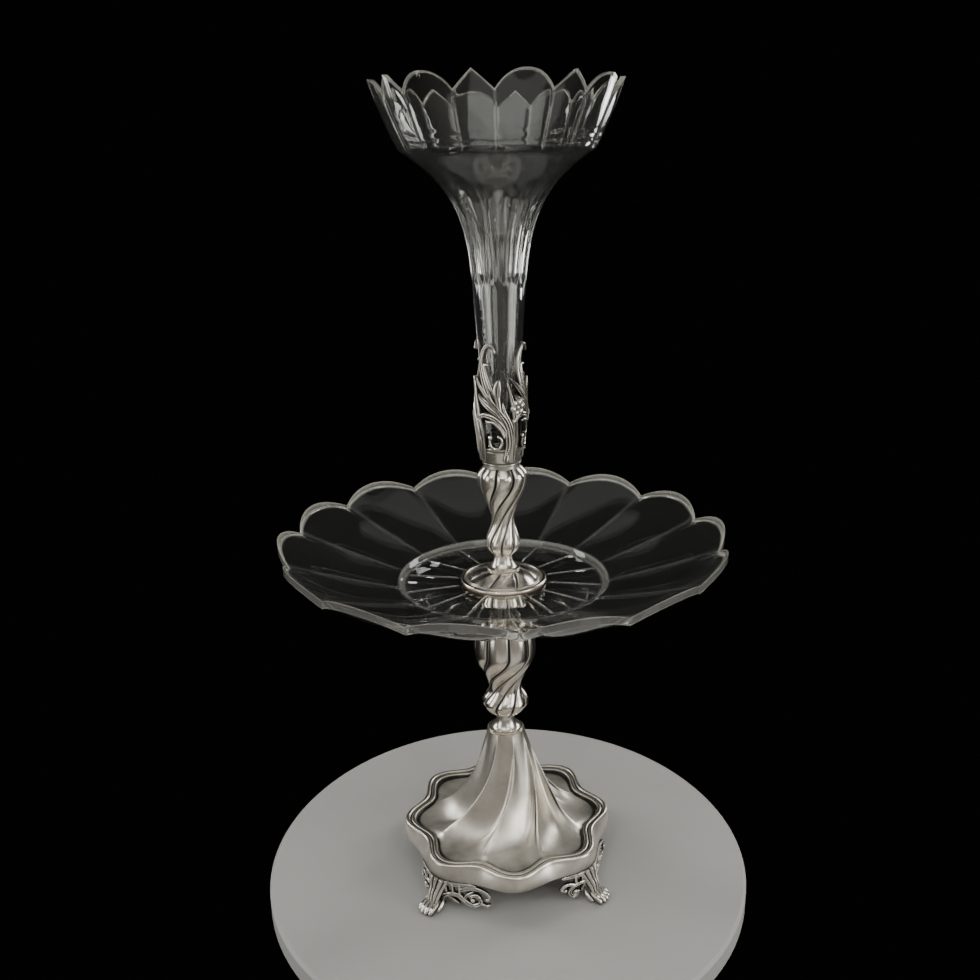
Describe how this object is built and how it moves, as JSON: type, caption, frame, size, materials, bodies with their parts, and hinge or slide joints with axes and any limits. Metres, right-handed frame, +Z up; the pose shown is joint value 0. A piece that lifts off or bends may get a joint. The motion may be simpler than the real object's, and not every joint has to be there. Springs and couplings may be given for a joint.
{
  "type": "epergne",
  "caption": "Silver epergne: a swirled foot on scroll feet and a baluster stem carry a scalloped glass dish; the upper stem unscrews and its leaf calyx holds a trumpet vase that lifts out.",
  "frame": {"origin": "on the table, under the axis of the stem", "axes": "+Z up along the stem; the front of the picture faces -Y; one foot stands in each quadrant"},
  "size_m": [0.284, 0.2804, 0.508],
  "materials": {
    "antique_silver": "satin antique silver plate with dark patina in the hollows",
    "clear_glass": "polished clear glass with a faint olive tint at its edges",
    "brass_fixing": "plain turned brass",
    "cork": "natural cork"
  },
  "bodies": {
    "stand": {"foot_dome": "antique_silver", "foot_rim": "antique_silver", "scroll_foot_1": "antique_silver", "scroll_foot_2": "antique_silver", "scroll_foot_3": "antique_silver", "scroll_foot_4": "antique_silver", "tie_rod": "brass_fixing", "rod_washer": "brass_fixing", "rod_nut": "brass_fixing", "lower_collar": "antique_silver", "lower_baluster": "antique_silver", "dish_rest": "antique_silver", "lower_cork_washer": "cork", "glass_dish": "clear_glass"},
    "clamp": {"clamp_rosette": "antique_silver", "upper_cork_washer": "cork"},
    "upper_stem": {"rosette_retainer": "brass_fixing", "upper_collar": "antique_silver", "upper_baluster": "antique_silver", "threaded_bush": "brass_fixing", "vase_socket": "antique_silver", "socket_screw": "brass_fixing", "leaf_calyx": "antique_silver", "vase_pad": "cork"},
    "vase": {"glass_vase": "clear_glass"}
  },
  "joints": [
    {"name": "upper_stem_rise", "type": "slide", "parent": "stand", "child": "clamp", "axis": [0, 0, 1], "range_m": [0, 0.008]},
    {"name": "upper_stem_unscrew", "type": "hinge", "parent": "clamp", "child": "upper_stem", "pos_m": [0, 0, 0.216], "axis": [0, 0, 1], "range_deg": [0, 2880]},
    {"name": "vase_lift", "type": "slide", "parent": "upper_stem", "child": "vase", "axis": [0, 0, 1], "range_m": [0, 0.1]}
  ],
  "couplings": [
    {"joint": "upper_stem_rise", "follows": "upper_stem_unscrew", "m_per_rad": 0.00015915}
  ]
}
